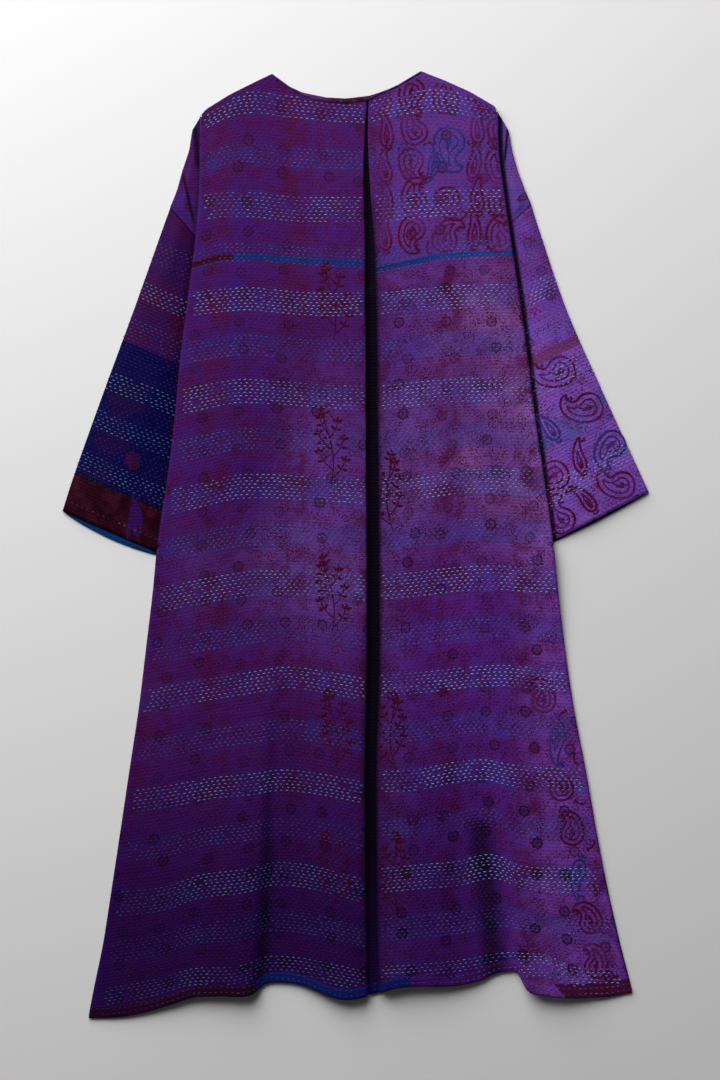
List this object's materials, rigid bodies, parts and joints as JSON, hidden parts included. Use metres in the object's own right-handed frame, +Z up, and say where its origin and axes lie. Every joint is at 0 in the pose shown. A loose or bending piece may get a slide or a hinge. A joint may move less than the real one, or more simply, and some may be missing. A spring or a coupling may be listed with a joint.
{
  "type": "duster coat",
  "caption": "Long flared duster coat in quilted cloth, laid flat on its fronts: wide sleeves, dropped shoulders and a pleat down the back.",
  "frame": {"origin": "centre of the bounding box on the surface that the coat lies on", "axes": "+X across the coat to the right of the picture, +Y up the coat towards the neck, +Z up from the surface"},
  "size_m": [0.716, 1.156, 0.0179],
  "materials": {
    "quilted_cloth": "soft, slightly shiny violet silk, overdyed and hand stitched",
    "sleeve_cloth": "soft violet and navy silk, hand stitched",
    "neck_edge": "soft wine and blue silk binding",
    "thread": "loosely twisted cotton thread, turquoise, blue and dark red"
  },
  "bodies": {
    "root": {"back": "quilted_cloth", "front_left": "quilted_cloth", "front_right": "quilted_cloth", "sleeve_left": "sleeve_cloth", "sleeve_right": "sleeve_cloth", "neck_binding": "neck_edge"}
  },
  "joints": []
}
